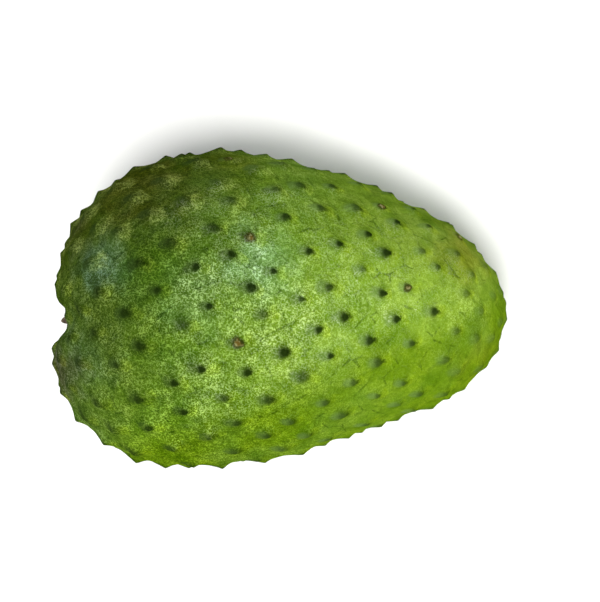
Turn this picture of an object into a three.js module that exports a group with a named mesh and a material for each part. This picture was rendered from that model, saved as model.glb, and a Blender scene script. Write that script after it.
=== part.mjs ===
// A whole picked soursop, lying on its side on a flat surface, with the stub of its stalk.
// Millimetres, +Z up. The stem end points to -X and the blossom end to +X. The origin is on the
// surface that the fruit lies on, under the middle of its outline.
//
// The fruit is shaped in a frame of its own, with its heart at the origin and its long axis along
// X, and is then laid down: tilted a little about Y, lifted, and pressed flat where it rests.

import * as THREE from 'three';
import { ConvexHull } from 'three/addons/math/ConvexHull.js';

// Body: how far the skin lies from the heart, every STATION_STEP degrees from the stem end round
// to the blossom end, along the +Y flank and along the -Y flank.
const STATION_STEP = 20;
const LEFT_FLANK = [92.2, 92.9, 87.0, 77.5, 69.1, 65.5, 66.8, 74.5, 91.0, 104.0];
const RIGHT_FLANK = [92.2, 97.8, 92.0, 79.6, 68.3, 64.3, 65.2, 74.6, 94.8, 104.0];
const DEPTH_SHARE = 0.93; // thickness of the body against its width
const LUMP_HEIGHT = 0.7; // of the broad unevenness of the whole body

// How it lies: the stem end is tilted up until the weight is over the flat spot.
const STEM_LIFT = THREE.MathUtils.degToRad(9.5);
const HEART = new THREE.Vector3(-3.8, 0.3, 60);

// Stem end: a cleft across it, with a round cavity in the middle.
const CAVITY_Y = -5.2;
const CLEFT = { depth: 7, halfWidth: 7.5, halfLength: 40 };
const CAVITY = { depth: 7, radius: 9 };

// Spines: low soft cones that lean towards the blossom end, seated on a spiral. The lists go by
// station. The lean is the sideways reach of the tip against its height.
const SPINE_PITCH = [12.3, 14.4, 17, 17.5, 17.5, 17.3, 16.5, 15.3, 13.6, 12.3];
const SPINE_HEIGHT = [0.6, 1.4, 2.3, 2.0, 1.6, 1.4, 1.4, 1.4, 1.2, 0.7];
const SPINE_LEAN = [0.3, 0.35, 0.45, 0.6, 0.7, 0.8, 0.9, 0.9, 0.9, 0.9];
const SPINE_FOOT = 7.5; // radius where a spine has faded into the skin, at the full pitch
const FULL_PITCH = 17;
const SPINE_FLARE = 2.3; // 1 is a straight cone; more hollows its flanks
const SMALLEST_SPINE = 0.85; // against the mean; the largest is as far above it
const SPIRAL_START = 9; // degrees from the stem end
const SPIRAL_STEP = 0.1; // degrees
const FIRST_ROOM = 0.5; // share of a spine's room that the bare stem end holds
const SPIRAL_PHASE = 5.34;
const GOLDEN_ANGLE = Math.PI * (3 - Math.sqrt(5));
const SEAT_JITTER = 0.17; // share of the pitch
const SCATTER_SEED = 1234;

// Stalk stub: radius and height over the cavity's floor, from its underside to its broken tip.
const STUB_PROFILE = [
  [0, 0.6], [3.1, 1.2], [3.6, 2.3], [3.1, 4.2], [2.7, 7.6], [2.1, 10.6], [1.1, 12.9], [0, 13.8],
];
const STUB_SIDES = 14;
const STUB_RIBS = { count: 3, share: 0.09 };
const STUB_BEND = 1.3; // how far its tip has drooped

// Mesh: rings of points, as [radius, number of points].
const SPINE_RINGS = [[2.4, 6], [7, 6]];
const CAVITY_RINGS = [[2.5, 6], [4.6, 12], [6.6, 14], [8.6, 16], [11, 16], [14, 18]];
const FLAT_SPOT_RINGS = [[9.5, 8]];
const PATCH_CLEARANCE = 1.2; // between the last of those rings and the spines' own
const SPINE_CLEARANCE = 0.4; // between the rings of one spine and those of the next
const NORMAL_REACH = 0.004; // how far beside a direction its neighbours are taken
const FLAT_SPOT_X = -11;

// A repeatable number from 0 to 1 for a whole number and a channel.
function scatter(index, channel) {
  const wave = Math.sin(index * 12.9898 + channel * 78.233) * 43758.5453;
  return wave - Math.floor(wave);
}

// Smooth value through the stations at an angle in degrees. Beyond each pole the list goes on
// with the opposite flank, so the curve runs over the pole without a corner.
function throughStations(stations, opposite, angle) {
  const last = stations.length - 1;
  const at = (i) => (i < 0 ? opposite[-i] : i > last ? opposite[2 * last - i] : stations[i]);
  const place = Math.min(Math.max(angle / STATION_STEP, 0), last - 1e-9);
  const i = Math.floor(place);
  const t = place - i;
  const [a, b, c, d] = [at(i - 1), at(i), at(i + 1), at(i + 2)];
  return b + 0.5 * t * (c - a + t * (2 * a - 5 * b + 4 * c - d + t * (3 * (b - c) + d - a)));
}

// Distance from the heart to the skin between the spines, along a unit direction.
function skinDistance({ x, y, z }) {
  const fromStem = Math.acos(THREE.MathUtils.clamp(-x, -1, 1));
  const degrees = THREE.MathUtils.radToDeg(fromStem);
  const left = throughStations(LEFT_FLANK, RIGHT_FLANK, degrees);
  const right = throughStations(RIGHT_FLANK, LEFT_FLANK, degrees);
  const width = y > 0 ? left : right;
  const depth = ((left + right) / 2) * (1 - (1 - DEPTH_SHARE) * Math.sin(fromStem) ** 2);
  const across = y ** 2 + z ** 2;
  const share = across > 0 ? y ** 2 / across : 0.5;
  const plain = 1 / Math.sqrt(share / width ** 2 + (1 - share) / depth ** 2);
  const lump = LUMP_HEIGHT * Math.sin(5 * x + 3 * y + 1) * Math.sin(4 * z - 3 * x + 2 * y);
  if (x > 0) return plain + lump;
  const side = plain * y - CAVITY_Y;
  const up = plain * z;
  const cleft = CLEFT.depth * Math.exp(-((side / CLEFT.halfWidth) ** 4) - (up / CLEFT.halfLength) ** 2);
  const cavity = CAVITY.depth * Math.exp(-(((side ** 2 + up ** 2) / CAVITY.radius ** 2) ** 2));
  return plain + lump - cleft - cavity;
}

const skinPoint = (direction) => direction.clone().multiplyScalar(skinDistance(direction));

// Outward normal of the skin, from neighbouring points on four sides.
function skinNormal(direction) {
  const first = new THREE.Vector3(-direction.y, direction.x, 0.3).cross(direction).normalize();
  const second = direction.clone().cross(first);
  const beside = (way, step) => skinPoint(direction.clone().addScaledVector(way, step).normalize());
  const along = beside(first, NORMAL_REACH).sub(beside(first, -NORMAL_REACH));
  const across = beside(second, NORMAL_REACH).sub(beside(second, -NORMAL_REACH));
  return along.cross(across).normalize();
}

// One spine of a station, at an angle from the stem end and a turn round the long axis.
function makeSpine(index, degrees, angle, turn) {
  const direction = new THREE.Vector3(
    -Math.cos(angle),
    Math.sin(angle) * Math.cos(turn),
    Math.sin(angle) * Math.sin(turn),
  );
  const normal = skinNormal(direction);
  const blossomWay = new THREE.Vector3(1, 0, 0).addScaledVector(normal, -normal.x);
  const growth = SMALLEST_SPINE + 2 * (1 - SMALLEST_SPINE) * scatter(index, SCATTER_SEED + 2);
  const size = (throughStations(SPINE_PITCH, SPINE_PITCH, degrees) / FULL_PITCH) * growth;
  const height = throughStations(SPINE_HEIGHT, SPINE_HEIGHT, degrees) * growth;
  const lean = throughStations(SPINE_LEAN, SPINE_LEAN, degrees);
  const rise = normal.clone().addScaledVector(blossomWay, lean).multiplyScalar(height);
  return { direction, normal, size, rise, seat: skinPoint(direction) };
}

// Walks from pole to pole and seats a spine each time the band of skin that was crossed holds
// room for one more, turned by the golden angle from the last.
function seatSpines() {
  const spines = [];
  const step = SPIRAL_STEP;
  let room = FIRST_ROOM;
  for (let degrees = SPIRAL_START; degrees < 180; degrees += step) {
    const angle = THREE.MathUtils.degToRad(degrees);
    const distance = throughStations(LEFT_FLANK, RIGHT_FLANK, degrees);
    const ahead = throughStations(LEFT_FLANK, RIGHT_FLANK, Math.min(degrees + step, 180));
    const radius = distance * Math.sin(angle);
    const stride = Math.hypot(distance * THREE.MathUtils.degToRad(step), ahead - distance);
    const pitch = throughStations(SPINE_PITCH, SPINE_PITCH, degrees);
    const spineRoom = (Math.sqrt(3) / 2) * pitch ** 2;
    room += (Math.PI * (1 + DEPTH_SHARE) * radius * stride) / spineRoom;
    if (room < 1) continue;
    room -= 1;
    const index = spines.length;
    const shift = (channel) => (2 * scatter(index, SCATTER_SEED + channel) - 1) * SEAT_JITTER * pitch;
    const turn = SPIRAL_PHASE - index * GOLDEN_ANGLE + shift(0) / radius;
    spines.push(makeSpine(index, degrees, angle + shift(1) / distance, turn));
  }
  return spines;
}

// From the fruit's own frame to the fruit as it lies.
const lay = (point) => point.clone().applyAxisAngle(new THREE.Vector3(0, 1, 0), STEM_LIFT).add(HEART);

// The finished skin along a direction: raised by its spines, and pressed flat where it would
// reach below the surface that it lies on.
function finishedPoint(direction, spines) {
  const skin = skinPoint(direction);
  const tip = skin.clone();
  for (const spine of spines) {
    const inwards = 1 - skin.distanceTo(spine.seat) / (SPINE_FOOT * spine.size);
    if (inwards > 0) tip.addScaledVector(spine.rise, inwards ** SPINE_FLARE);
  }
  const [low, high] = [lay(skin), lay(tip)];
  if (low.z <= 0) return low.setZ(0);
  if (high.z >= 0) return high;
  return low.lerp(high, low.z / (low.z - high.z)).setZ(0);
}

// Unit directions to a ring of points round a point of the skin.
function ringRound(middle, normal, [radius, count], turn) {
  const first = new THREE.Vector3(normal.z, normal.x, normal.y).cross(normal).normalize();
  const second = normal.clone().cross(first);
  return Array.from({ length: count }, (_, k) => {
    const angle = turn + (k * 2 * Math.PI) / count;
    return middle.clone()
      .addScaledVector(first, radius * Math.cos(angle))
      .addScaledVector(second, radius * Math.sin(angle))
      .normalize();
  });
}

// A patch of the skin with rings of its own: the stem cavity and the flat spot.
function makePatch(direction, rings) {
  const middle = skinPoint(direction);
  const directions = rings.flatMap((ring, k) => ringRound(middle, direction, ring, k / rings.length));
  const reach = rings[rings.length - 1][0] + PATCH_CLEARANCE;
  const holds = (other) => middle.clone().normalize().angleTo(other) * middle.length() < reach;
  return { directions: [direction, ...directions], holds };
}

const cavityDirection = new THREE.Vector3(-LEFT_FLANK[0], CAVITY_Y, 0).normalize();

// The directions in which the fruit's mesh has points.
function meshDirections(spines) {
  const cavity = makePatch(cavityDirection, CAVITY_RINGS);
  const lowest = new THREE.Vector3(FLAT_SPOT_X, HEART.y, 0).sub(HEART);
  lowest.applyAxisAngle(new THREE.Vector3(0, 1, 0), -STEM_LIFT).normalize();
  const flatSpot = makePatch(lowest, FLAT_SPOT_RINGS);
  const free = (direction) => !cavity.holds(direction) && !flatSpot.holds(direction);
  const directions = [...cavity.directions, ...flatSpot.directions];
  for (const spine of spines) {
    if (free(spine.direction)) directions.push(spine.direction);
    SPINE_RINGS.forEach(([radius, count], k) => {
      const turn = k / SPINE_RINGS.length;
      const ring = ringRound(spine.seat, spine.normal, [radius * spine.size, count], turn);
      const crowded = (direction) => {
        const point = skinPoint(direction);
        const reach = radius + SPINE_CLEARANCE;
        return spines.some((other) => other !== spine && point.distanceTo(other.seat) < reach * other.size);
      };
      directions.push(...ring.filter((direction) => free(direction) && !crowded(direction)));
    });
  }
  return directions;
}

// The mesh joins its directions as their convex hull on the unit sphere joins them.
function fruitGeometry() {
  const spines = seatSpines();
  const directions = meshDirections(spines);
  const numberOf = new Map(directions.map((direction, i) => [direction, i]));
  const triangles = new ConvexHull().setFromPoints(directions).faces.map(({ edge }) => (
    [edge, edge.next, edge.next.next].map((side) => numberOf.get(side.head().point))
  ));
  const geometry = new THREE.BufferGeometry();
  geometry.setFromPoints(directions.map((direction) => finishedPoint(direction, spines)));
  geometry.setIndex(triangles.flat());
  geometry.computeVertexNormals();
  return geometry;
}

// A turned stub, ribbed along its length and drooping towards its tip.
function stubGeometry() {
  const profile = STUB_PROFILE.map(([radius, height]) => new THREE.Vector2(radius, height));
  const geometry = new THREE.LatheGeometry(profile, STUB_SIDES);
  const points = geometry.attributes.position;
  const tipHeight = STUB_PROFILE[STUB_PROFILE.length - 1][1];
  for (let i = 0; i < points.count; i += 1) {
    const [x, y, z] = [points.getX(i), points.getY(i), points.getZ(i)];
    const rib = 1 + STUB_RIBS.share * Math.cos(STUB_RIBS.count * Math.atan2(z, x));
    points.setXYZ(i, x * rib - STUB_BEND * (y / tipHeight) ** 2, y, z * rib);
  }
  geometry.computeVertexNormals();
  return geometry;
}

const skinFinish = new THREE.MeshStandardMaterial({ color: 0x6f9a2f, roughness: 0.55, metalness: 0 });
const barkFinish = new THREE.MeshStandardMaterial({ color: 0x4a3a24, roughness: 0.85, metalness: 0 });

const fruit = new THREE.Mesh(fruitGeometry(), skinFinish);
fruit.name = 'fruit';

// The stub stands in the cavity along the fruit's own axis, so it is placed in the fruit's frame.
const stalkStub = new THREE.Mesh(stubGeometry(), barkFinish);
stalkStub.name = 'stalk_stub';
stalkStub.position.copy(skinPoint(cavityDirection));
stalkStub.rotation.z = Math.PI / 2;

const stemEnd = new THREE.Group();
stemEnd.position.copy(HEART);
stemEnd.rotation.y = STEM_LIFT;
stemEnd.add(stalkStub);

const soursop = new THREE.Group();
soursop.add(fruit, stemEnd);

export default soursop;
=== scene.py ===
"""A whole soursop lying on its side on a pale studio surface.

The fruit's skin is shaped in millimetres in a frame of its own, with the heart of the fruit at the
origin and its long axis along X, and is then laid down on the surface. Blender's objects are in
metres, with +Z up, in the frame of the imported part.
"""
import logging
import math
from collections.abc import Mapping, Sequence
from dataclasses import dataclass
from enum import Enum, IntEnum
from typing import Union

import bpy
import numpy as np
from mathutils import Matrix, Vector


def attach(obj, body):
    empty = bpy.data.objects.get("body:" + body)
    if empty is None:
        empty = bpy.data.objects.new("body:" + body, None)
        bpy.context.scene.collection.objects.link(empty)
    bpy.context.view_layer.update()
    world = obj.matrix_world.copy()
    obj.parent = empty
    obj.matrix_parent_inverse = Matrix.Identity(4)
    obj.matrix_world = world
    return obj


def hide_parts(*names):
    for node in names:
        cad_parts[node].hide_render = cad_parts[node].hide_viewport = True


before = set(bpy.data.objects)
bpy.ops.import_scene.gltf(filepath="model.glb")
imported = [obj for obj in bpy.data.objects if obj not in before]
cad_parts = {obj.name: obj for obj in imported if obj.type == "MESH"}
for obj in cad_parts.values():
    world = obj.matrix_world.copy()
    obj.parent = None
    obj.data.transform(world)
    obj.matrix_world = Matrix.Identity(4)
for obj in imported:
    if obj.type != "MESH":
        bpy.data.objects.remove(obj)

MM = 0.001
BODY = "root"
PRINCIPLED = "ShaderNodeBsdfPrincipled"
TINY = 1e-9
HALF_TURN = 180.0
CORKY_TONES = (0.86, 0.88)  # the tones above which a spine is stunted, with a corky tip
log = logging.getLogger("soursop")

Array = np.ndarray
Colour = tuple[float, float, float, float]
Span = tuple[float, float]
Patches = tuple["Patch", ...]
Operand = Union["Signal", float, int, Sequence[float]]


class Blend(Enum):
    """How one colour is laid over another."""

    COVER = "MIX"
    TINT = "MULTIPLY"
    ADD = "ADD"


class Draw(IntEnum):
    """What a spine's random numbers are drawn for."""

    STRAY_ROUND = 0
    STRAY_ALONG = 1
    GROWTH = 2
    TONE = 3


class Data(Enum):
    """What an attribute holds."""

    NUMBER = "FLOAT"
    COUNT = "INT"
    VECTOR = "FLOAT_VECTOR"


# ---- Node trees ----


class Signal:
    """The output of a node, which takes part in Python's arithmetic by adding Math nodes."""

    def __init__(self, graph: "Graph", socket: bpy.types.NodeSocket) -> None:
        """Wraps a socket.

        Args:
            graph: The graph that the socket's node is in.
            socket: The output socket.
        """
        self.graph = graph
        self.socket = socket

    def _math(self, operation: str, *operands: Operand) -> "Signal":
        """Adds one Math node and returns its value."""
        settings = {"operation": operation}
        return self.graph.value("ShaderNodeMath", settings, dict(enumerate(operands)))

    def __add__(self, other: Operand) -> "Signal":
        """self + other."""
        return self._math("ADD", self, other)

    def __radd__(self, other: Operand) -> "Signal":
        """other + self."""
        return self._math("ADD", other, self)

    def __sub__(self, other: Operand) -> "Signal":
        """self - other."""
        return self._math("SUBTRACT", self, other)

    def __rsub__(self, other: Operand) -> "Signal":
        """other - self."""
        return self._math("SUBTRACT", other, self)

    def __mul__(self, other: Operand) -> "Signal":
        """self * other."""
        return self._math("MULTIPLY", self, other)

    def __rmul__(self, other: Operand) -> "Signal":
        """other * self."""
        return self._math("MULTIPLY", other, self)

    def __truediv__(self, other: Operand) -> "Signal":
        """self / other."""
        return self._math("DIVIDE", self, other)

    def __rtruediv__(self, other: Operand) -> "Signal":
        """other / self."""
        return self._math("DIVIDE", other, self)

    def __pow__(self, other: Operand) -> "Signal":
        """self ** other."""
        return self._math("POWER", self, other)

    def least(self, other: Operand) -> "Signal":
        """The smaller of the two."""
        return self._math("MINIMUM", self, other)

    def most(self, other: Operand) -> "Signal":
        """The larger of the two."""
        return self._math("MAXIMUM", self, other)

    def sine(self) -> "Signal":
        """The sine of the value, in radians."""
        return self._math("SINE", self)

    def size(self) -> "Signal":
        """The value without its sign."""
        return self._math("ABSOLUTE", self)

    def __gt__(self, other: Operand) -> "Signal":
        """1 where self is above other, and 0 elsewhere."""
        return self._math("GREATER_THAN", self, other)

    def angle_over(self, other: Operand) -> "Signal":
        """The angle of the point (other, self), in radians."""
        return self._math("ARCTAN2", self, other)

    def ramp(self, low: Operand, high: Operand) -> "Signal":
        """A smooth step, which runs down where low is above high.

        Args:
            low: Where it is 0.
            high: Where it is 1.

        Returns:
            The step.
        """
        sockets = {"Value": self, "From Min": low, "From Max": high}
        settings = {"interpolation_type": "SMOOTHSTEP", "clamp": True}
        return self.graph.value("ShaderNodeMapRange", settings, sockets)

    def within(self, span: Span) -> "Signal":
        """The same step, over a span in millimetres of a value in metres."""
        return self.ramp(span[0] * MM, span[1] * MM)

    def between(self, low: float, high: float) -> "Signal":
        """A value that runs from low where this one is 0 to high where it is 1."""
        return low + (high - low) * self


@dataclass(frozen=True)
class Cloud:
    """A cloudy noise from 0 to 1. Its size is in millimetres, and its seed picks one of many."""

    size: float
    detail: float
    warp: float
    seed: float


class Graph:
    """A node tree that is written as a list of short statements."""

    def __init__(self, tree: bpy.types.NodeTree) -> None:
        """Starts an empty graph.

        Args:
            tree: The node tree, whose nodes are cleared.
        """
        self.tree = tree
        tree.nodes.clear()

    def add(
        self,
        kind: str,
        settings: Mapping[str, object] | None = None,
        sockets: Mapping[str | int, object] | None = None,
    ) -> bpy.types.Node:
        """Adds a node.

        Args:
            kind: The node's type.
            settings: Properties of the node, which are set first.
            sockets: Values or links of its inputs, by name or number.

        Returns:
            The node.
        """
        node = self.tree.nodes.new(kind)
        for name, setting in (settings or {}).items():
            setattr(node, name, setting)
        for name, source in (sockets or {}).items():
            self.feed(self._input(node, name), source)
        return node

    def value(
        self,
        kind: str,
        settings: Mapping[str, object] | None = None,
        sockets: Mapping[str | int, object] | None = None,
        output: str | int = 0,
    ) -> Signal:
        """Adds a node and returns one of its outputs as a signal.

        Args:
            kind: The node's type.
            settings: Properties of the node.
            sockets: Values or links of its inputs.
            output: The output's name or number.

        Returns:
            That output.
        """
        node = self.add(kind, settings, sockets)
        if isinstance(output, str):
            return Signal(self, next(s for s in node.outputs if s.name == output and s.enabled))
        return Signal(self, [s for s in node.outputs if s.enabled][output])

    @staticmethod
    def _input(node: bpy.types.Node, name: str | int) -> bpy.types.NodeSocket:
        """The enabled input of that name, or the input of that number."""
        named = (s for s in node.inputs if s.name == name and s.enabled)
        return node.inputs[name] if isinstance(name, int) else next(named)

    def feed(self, socket: bpy.types.NodeSocket, source: object) -> None:
        """Links a signal to a socket, or sets the socket's own value.

        Args:
            socket: The input socket.
            source: The signal, or the value.
        """
        if isinstance(source, Signal):
            self.tree.links.new(source.socket, socket)
        else:
            socket.default_value = source

    def mix(self, share: Operand, first: object, second: object, kind: str = "RGBA") -> Signal:
        """Mixes two colours, or two vectors.

        Args:
            share: How much of the second shows, from 0 to 1.
            first: The first colour or vector.
            second: The second one.
            kind: RGBA or VECTOR.

        Returns:
            The mixture.
        """
        settings = {"data_type": kind, "clamp_factor": True}
        return self.value("ShaderNodeMix", settings, {"Factor": share, "A": first, "B": second})

    def blend(self, share: Operand, first: object, second: object, mode: Blend) -> Signal:
        """Lays a share of the second colour over the first."""
        settings = {"data_type": "RGBA", "blend_type": mode.value, "clamp_factor": True}
        return self.value("ShaderNodeMix", settings, {"Factor": share, "A": first, "B": second})

    def noise(
        self,
        place: Signal,
        size: Operand,
        detail: float = 2.0,
        warp: float = 0.0,
        seed: Operand = 0.0,
    ) -> Signal:
        """Cloudy noise from 0 to 1.

        Args:
            place: The position, in metres.
            size: The size of one cloud, in metres.
            detail: Octaves of finer noise.
            warp: How far the noise is warped.
            seed: Picks one of many such noises.

        Returns:
            The noise.
        """
        sockets = {"Vector": place, "W": seed, "Scale": 1 / size, "Detail": detail}
        sockets["Distortion"] = warp
        return self.value("ShaderNodeTexNoise", {"noise_dimensions": "4D"}, sockets)

    def cloud(self, place: Signal, cloud: Cloud) -> Signal:
        """One of the named noises, at a place in metres."""
        return self.noise(place, cloud.size * MM, cloud.detail, cloud.warp, cloud.seed)

    def vector(self, operation: str, *operands: object, output: str | int = 0) -> Signal:
        """One Vector Math node."""
        settings = {"operation": operation}
        return self.value("ShaderNodeVectorMath", settings, dict(enumerate(operands)), output)

    def scaled(self, vector: Signal, factor: Operand) -> Signal:
        """A vector times a number."""
        sockets = {"Vector": vector, "Scale": factor}
        return self.value("ShaderNodeVectorMath", {"operation": "SCALE"}, sockets)

    def parts(self, vector: Signal) -> tuple[Signal, ...]:
        """The x, y and z of a vector."""
        node = self.add("ShaderNodeSeparateXYZ", {}, {0: vector})
        return tuple(Signal(self, output) for output in node.outputs)

    def attribute(self, name: str, output: str = "Fac") -> Signal:
        """A named attribute of the piece, for a material."""
        return self.value("ShaderNodeAttribute", {"attribute_name": name}, {}, output)

    def bump(self, relief: Signal, height: float, strength: float = 1.0) -> Signal:
        """The normal of a fine relief, whose height is in metres."""
        sockets = {"Strength": strength, "Distance": height, "Height": relief}
        return self.value("ShaderNodeBump", {}, sockets, "Normal")


# ---- The fruit's shape, in millimetres in its own frame ----


def through_stations(
    stations: Sequence[float], opposite: Sequence[float], step: float, degrees: Array
) -> Array:
    """Smooth values through evenly spaced stations, on Catmull-Rom curves.

    Args:
        stations: The values from the stem end (0 degrees) to the blossom end (180 degrees).
        opposite: The stations of the flank that the curve runs on to beyond each pole.
        step: The degrees between two stations.
        degrees: Where values are wanted.

    Returns:
        One value for each angle.
    """
    last = len(stations) - 1
    values = np.array([opposite[1], *stations, opposite[last - 1]])
    place = np.clip(np.asarray(degrees) / step, 0, last - TINY)
    index = np.floor(place).astype(int)
    t = place - index
    a, b, c, d = (values[index + k] for k in range(4))
    return b + 0.5 * t * (c - a + t * (2 * a - 5 * b + 4 * c - d + t * (3 * (b - c) + d - a)))


def scatter(index: int, channel: int) -> float:
    """Draws a repeatable number.

    Args:
        index: The number of the thing that it is drawn for.
        channel: Picks one of many such draws.

    Returns:
        A number from 0 to 1.
    """
    index_stride, channel_stride, swing = 12.9898, 78.233, 43758.5453
    wave = math.sin(index * index_stride + channel * channel_stride) * swing
    return wave - math.floor(wave)


def unit(vectors: Array) -> Array:
    """The vectors, one in each row, brought to length 1."""
    return vectors / np.linalg.norm(vectors, axis=1, keepdims=True)


@dataclass(frozen=True)
class FruitBody:
    """The body between its spines, and how it lies. Sizes are in millimetres.

    The flanks hold the distance from the heart to the skin at every 20 degrees, from the stem end
    to the blossom end.
    """

    station_step: float = 20.0
    left_flank: tuple[float, ...] = (92.2, 92.9, 87.0, 77.5, 69.1, 65.5, 66.8, 74.5, 91.0, 104.0)
    right_flank: tuple[float, ...] = (92.2, 97.8, 92.0, 79.6, 68.3, 64.3, 65.2, 74.6, 94.8, 104.0)
    depth_share: float = 0.93
    lump_height: float = 0.7
    lump_waves: tuple[tuple[float, float, float], ...] = ((5, 3, 0), (-3, 2, 4))
    lump_phases: tuple[float, float] = (1.0, 0.0)
    cavity_y: float = -5.2
    cleft_depth: float = 7.0
    cleft_half_width: float = 7.5
    cleft_half_length: float = 40.0
    cavity_depth: float = 7.0
    cavity_radius: float = 9.0
    stem_lift: float = math.radians(9.5)
    heart: tuple[float, float, float] = (-3.8, 0.3, 60.0)

    def flank(self, degrees: Array) -> Array:
        """Distance from the heart to the skin along the left flank."""
        return through_stations(self.left_flank, self.right_flank, self.station_step, degrees)

    def distance(self, directions: Array) -> Array:
        """Distance from the heart to the skin between the spines.

        Args:
            directions: Unit directions, one in each row.

        Returns:
            One distance for each direction.
        """
        x, y, z = directions.T
        from_stem = np.arccos(np.clip(-x, -1, 1))
        degrees = np.degrees(from_stem)
        left = self.flank(degrees)
        right = through_stations(self.right_flank, self.left_flank, self.station_step, degrees)
        width = np.where(y > 0, left, right)
        depth = (left + right) / 2 * (1 - (1 - self.depth_share) * np.sin(from_stem) ** 2)
        share = y**2 / np.maximum(y**2 + z**2, TINY**2)
        plain = 1 / np.sqrt(share / width**2 + (1 - share) / depth**2)
        waves = np.sin(directions @ np.array(self.lump_waves).T + self.lump_phases)
        lump = self.lump_height * waves[:, 0] * waves[:, 1]
        side, up = plain * y - self.cavity_y, plain * z
        groove = (side / self.cleft_half_width) ** 4 + (up / self.cleft_half_length) ** 2
        bowl = (side**2 + up**2) / self.cavity_radius**2
        hollow = self.cleft_depth * np.exp(-groove) + self.cavity_depth * np.exp(-(bowl**2))
        return plain + lump - np.where(x > 0, 0, hollow)

    def skin(self, directions: Array) -> Array:
        """Points of the skin along unit directions."""
        return directions * self.distance(directions)[:, None]

    def normals(self, directions: Array) -> Array:
        """Outward normals of the skin between the spines.

        Args:
            directions: Unit directions, one in each row.

        Returns:
            One unit normal for each direction.
        """
        reach, tilt, nudge = 0.004, 0.3, 1e-6
        x, y, _ = directions.T
        guide = np.stack([nudge - y, x, np.full_like(x, tilt)], axis=1)
        first = unit(np.cross(guide, directions))
        along, across = (
            self.skin(unit(directions + reach * side)) - self.skin(unit(directions - reach * side))
            for side in (first, np.cross(directions, first))
        )
        return unit(np.cross(along, across))

    def turned(self, vectors: Array) -> Array:
        """Turns vectors as the fruit lies.

        Args:
            vectors: Vectors of the fruit's own frame, one in each row.

        Returns:
            The turned vectors.
        """
        cosine, sine = math.cos(self.stem_lift), math.sin(self.stem_lift)
        turn = np.array([[cosine, 0, sine], [0, 1, 0], [-sine, 0, cosine]])
        return vectors @ turn.T

    def laid(self, points: Array) -> Array:
        """Points of the fruit's own frame, in millimetres, as the fruit lies, in metres."""
        return (self.turned(points) + np.array(self.heart)) * MM


@dataclass(frozen=True)
class SpineSpiral:
    """Where the spines are seated and how each one stands. Sizes are in millimetres.

    Pitch, height and lean hold a value for every 20 degrees, from the stem end to the blossom end.
    The start and the steps of the walk are in degrees, and the spiral's phase is in radians.
    """

    pitch: tuple[float, ...] = (12.3, 14.4, 17, 17.5, 17.5, 17.3, 16.5, 15.3, 13.6, 12.3)
    full_pitch: float = 17.0
    height: tuple[float, ...] = (0.6, 1.4, 2.3, 2.0, 1.6, 1.4, 1.4, 1.4, 1.2, 0.7)
    lean: tuple[float, ...] = (0.3, 0.35, 0.45, 0.6, 0.7, 0.8, 0.9, 0.9, 0.9, 0.9)
    smallest: float = 0.85
    start: float = 9.0
    phase: float = 5.34
    jitter: float = 0.17
    seed: int = 1234
    walk_step: float = 0.1

    def draw(self, index: int, kind: Draw) -> float:
        """One of a spine's random numbers, from 0 to 1."""
        return scatter(index, self.seed + kind)

    def seat(self, body: FruitBody) -> "Spines":
        """Walks from pole to pole and seats a spine each time the skin crossed has room for it.

        Args:
            body: The fruit's body.

        Returns:
            The seated spines.
        """
        golden_angle = math.pi * (3 - math.sqrt(5))
        hexagon_share = math.sqrt(3) / 2
        walk = np.arange(self.start, HALF_TURN, self.walk_step)
        angles = np.radians(walk)
        distance = body.flank(walk)
        ahead = body.flank(np.minimum(walk + self.walk_step, HALF_TURN))
        radius = distance * np.sin(angles)
        stride = np.hypot(distance * math.radians(self.walk_step), ahead - distance)
        pitch, height, lean = (
            through_stations(stations, stations, body.station_step, walk)
            for stations in (self.pitch, self.height, self.lean)
        )
        cell = hexagon_share * pitch**2
        new_room = math.pi * (1 + body.depth_share) * radius * stride / cell
        directions, sizes, heights, leans, room = [], [], [], [], 0.5
        for k in range(len(walk)):
            room += new_room[k]
            if room < 1:
                continue
            room -= 1
            index = len(sizes)
            round_by, along_by = (
                (2 * self.draw(index, kind) - 1) * self.jitter * pitch[k]
                for kind in (Draw.STRAY_ROUND, Draw.STRAY_ALONG)
            )
            turn = self.phase - index * golden_angle + round_by / radius[k]
            tilt = angles[k] + along_by / distance[k]
            across = math.sin(tilt)
            directions.append((-math.cos(tilt), across * math.cos(turn), across * math.sin(turn)))
            growth = self.smallest + 2 * (1 - self.smallest) * self.draw(index, Draw.GROWTH)
            sizes.append(pitch[k] / self.full_pitch * growth)
            heights.append(height[k] * growth)
            leans.append(lean[k])
        found = np.array(directions)
        normals = body.normals(found)
        blossom_way = np.array([1.0, 0.0, 0.0]) - normals * normals[:, :1]
        rise = (normals + np.array(leans)[:, None] * blossom_way) * np.array(heights)[:, None]
        return Spines(body.skin(found), unit(blossom_way), rise, np.array(sizes))


@dataclass(frozen=True)
class Spines:
    """The seated spines: the place, way to the blossom end, rise to the tip and size of each.

    The nearest ones are looked up block by block, to spare memory.
    """

    seats: Array
    ways: Array
    rise: Array
    sizes: Array
    blocks: int = 40

    def nearest(self, points: Array) -> tuple[Array, Array, Array]:
        """Finds the two nearest seats of many points.

        Args:
            points: The points, one in each row.

        Returns:
            The nearest seat's number, its distance, and how much further the second one is.
        """
        numbers, near, border = [], [], []
        for block in np.array_split(points, self.blocks):
            gaps = np.linalg.norm(block[:, None] - self.seats[None], axis=2)
            pair = np.argpartition(gaps, 1, axis=1)[:, :2]
            two = np.take_along_axis(gaps, pair, axis=1)
            order = np.argsort(two, axis=1)
            pair = np.take_along_axis(pair, order, axis=1)
            two = np.take_along_axis(two, order, axis=1)
            numbers.append(pair[:, 0])
            near.append(two[:, 0])
            border.append(two[:, 1] - two[:, 0])
        return np.concatenate(numbers), np.concatenate(near), np.concatenate(border)


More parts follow.
